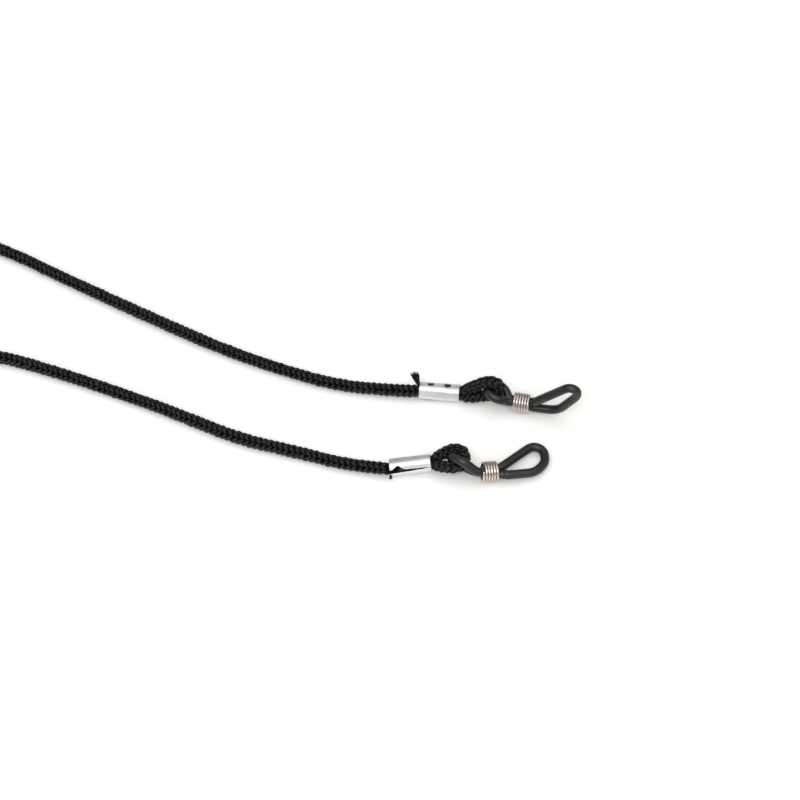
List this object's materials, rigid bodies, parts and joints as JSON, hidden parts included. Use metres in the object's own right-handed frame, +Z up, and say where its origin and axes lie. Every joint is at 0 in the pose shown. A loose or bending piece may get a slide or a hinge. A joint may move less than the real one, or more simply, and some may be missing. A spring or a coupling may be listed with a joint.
{
  "type": "eyeglass retainer strap",
  "caption": "Thin knitted neck cord with a crimped metal ferrule, a linked rubber ring and a sliding wire coil at each end, for holding spectacles.",
  "frame": {"origin": "on the ground under the middle of the two end fittings' bounding box (all nodes except the cord)", "axes": "+X from the cord towards the rubber rings, +Z up from the surface the strap lies on"},
  "size_m": [0.1855, 0.0805, 0.0135],
  "materials": {
    "knit": "knitted polyester yarn, matt with soft glints",
    "rubber": "smooth moulded rubber, satin",
    "aluminium": "satin crimped sheet",
    "nickel_wire": "bright nickel-plated spring steel wire"
  },
  "bodies": {
    "strap": {"upper_ferrule": "aluminium", "upper_cord_eye": "knit", "upper_cord_tail": "knit", "upper_cord_run": "knit", "lower_ferrule": "aluminium", "lower_cord_eye": "knit", "lower_cord_tail": "knit", "lower_cord_run": "knit", "cord_coil": "knit"},
    "upper_loop": {"upper_rubber_loop": "rubber"},
    "upper_slider": {"upper_slider_coil": "nickel_wire"},
    "lower_loop": {"lower_rubber_loop": "rubber"},
    "lower_slider": {"lower_slider_coil": "nickel_wire"}
  },
  "joints": [
    {"name": "upper_loop_swing", "type": "hinge", "parent": "strap", "child": "upper_loop", "pos_m": [0.00064, 0.01085, 0.0043], "axis": [-0.1407, -0.975, 0.1722], "range_deg": [-55, 55]},
    {"name": "upper_slider_slide", "type": "slide", "parent": "upper_loop", "child": "upper_slider", "axis": [0.9673, -0.2511, 0.037], "range_m": [-0.0012, 0.006], "deforming": ["upper_rubber_loop"]},
    {"name": "lower_loop_swing", "type": "hinge", "parent": "strap", "child": "lower_loop", "pos_m": [-0.00734, -0.00936, 0.00397], "axis": [-0.1047, -0.1795, 0.9782], "range_deg": [-55, 30]},
    {"name": "lower_slider_slide", "type": "slide", "parent": "lower_loop", "child": "lower_slider", "axis": [0.9837, 0.1498, -0.0999], "range_m": [-0.0012, 0.006], "deforming": ["lower_rubber_loop"]}
  ]
}
